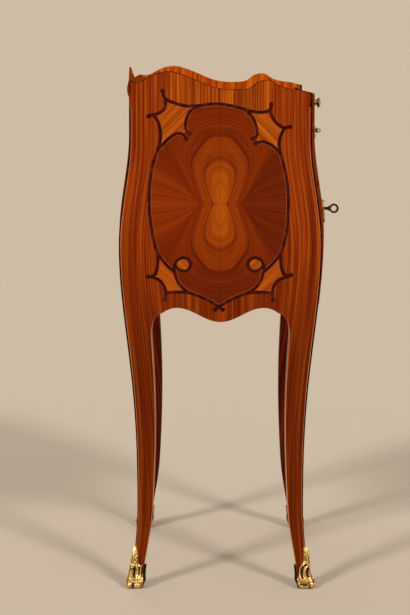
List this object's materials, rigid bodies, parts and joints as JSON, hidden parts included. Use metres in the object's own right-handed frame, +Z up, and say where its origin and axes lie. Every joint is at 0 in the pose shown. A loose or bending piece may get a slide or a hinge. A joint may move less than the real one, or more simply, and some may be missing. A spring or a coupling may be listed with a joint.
{
  "type": "occasional table",
  "caption": "Small bombe side table on cabriole legs with a shaped gallery, writing slide, lockable drawers, inlaid sides and bronze shoes.",
  "frame": {"origin": "on the floor, under the middle of the box round the whole table with its keys; the case's own middle lies 13.1 mm behind it", "axes": "+Z up; -Y is the front with the drawers; +X is the right-hand side seen from the front"},
  "size_m": [0.4128, 0.3189, 0.7235],
  "materials": {
    "tulipwood": "french polished, straight reddish stripes",
    "satinwood": "french polished, golden",
    "figured_veneer": "french polished, quarter matched figure",
    "dark_stringing": "french polished, nearly black red",
    "oak": "waxed",
    "leather": "smooth, lightly worn",
    "gilt_bronze": "cast and gilt, dark in the hollows",
    "brass": "filed, dull",
    "steel": "blackened, worn bright on the edges"
  },
  "bodies": {
    "root": {"leg_front_left": "tulipwood", "leg_front_right": "tulipwood", "leg_back_left": "tulipwood", "leg_back_right": "tulipwood", "sabot_front_left": "gilt_bronze", "sabot_front_right": "gilt_bronze", "sabot_back_left": "gilt_bronze", "sabot_back_right": "gilt_bronze", "side_panel_left": "tulipwood", "side_panel_right": "tulipwood", "back_panel": "tulipwood", "gallery_left": "tulipwood", "gallery_right": "tulipwood", "gallery_back": "tulipwood", "top_board": "tulipwood", "slide_rail": "tulipwood", "slide_bearers": "oak", "drawer_rail": "tulipwood", "front_apron": "tulipwood", "bottom_board": "oak", "drawer_runners": "oak", "drawer_guides": "oak", "drawer_stops": "oak", "veneer_frame_left": "tulipwood", "veneer_frame_right": "tulipwood", "spandrels_left": "satinwood", "spandrels_right": "satinwood", "oval_veneer_left": "figured_veneer", "oval_veneer_right": "figured_veneer", "stringing_left": "dark_stringing", "stringing_right": "dark_stringing"},
    "writing_slide": {"slide_board": "oak", "slide_lip": "tulipwood", "slide_leather": "leather", "slide_knob": "gilt_bronze"},
    "upper_drawer": {"upper_front": "tulipwood", "upper_side_left": "oak", "upper_side_right": "oak", "upper_back": "oak", "upper_bottom": "oak", "upper_lock": "brass", "upper_escutcheon": "gilt_bronze"},
    "lower_drawer": {"lower_front": "tulipwood", "lower_side_left": "oak", "lower_side_right": "oak", "lower_back": "oak", "lower_bottom": "oak", "lower_lock": "brass", "lower_escutcheon": "gilt_bronze"},
    "upper_bolt": {"upper_bolt": "steel"},
    "upper_key": {"upper_key": "steel"},
    "lower_bolt": {"lower_bolt": "steel"},
    "lower_key": {"lower_key": "steel"}
  },
  "joints": [
    {"name": "writing_slide_pull", "type": "slide", "parent": "root", "child": "writing_slide", "axis": [0, -1, 0], "range_m": [0, 0.15]},
    {"name": "upper_drawer_pull", "type": "slide", "parent": "root", "child": "upper_drawer", "axis": [0, -1, 0], "range_m": [0, 0.16]},
    {"name": "lower_drawer_pull", "type": "slide", "parent": "root", "child": "lower_drawer", "axis": [0, -1, 0], "range_m": [0, 0.16]},
    {"name": "upper_key_turn", "type": "hinge", "parent": "upper_drawer", "child": "upper_key", "pos_m": [0, -0.11693, 0.6319], "axis": [0, -1, 0], "range_deg": [0, 180]},
    {"name": "upper_bolt_throw", "type": "slide", "parent": "upper_drawer", "child": "upper_bolt", "axis": [0, 0, 1], "range_m": [0, 0.006]},
    {"name": "lower_key_turn", "type": "hinge", "parent": "lower_drawer", "child": "lower_key", "pos_m": [0, -0.11693, 0.5184], "axis": [0, -1, 0], "range_deg": [0, 180]},
    {"name": "lower_bolt_throw", "type": "slide", "parent": "lower_drawer", "child": "lower_bolt", "axis": [0, 0, 1], "range_m": [0, 0.006]}
  ],
  "couplings": [
    {"joint": "upper_key_turn", "follows": "upper_bolt_throw", "rad_per_m": 523.59},
    {"joint": "lower_key_turn", "follows": "lower_bolt_throw", "rad_per_m": 523.59}
  ]
}
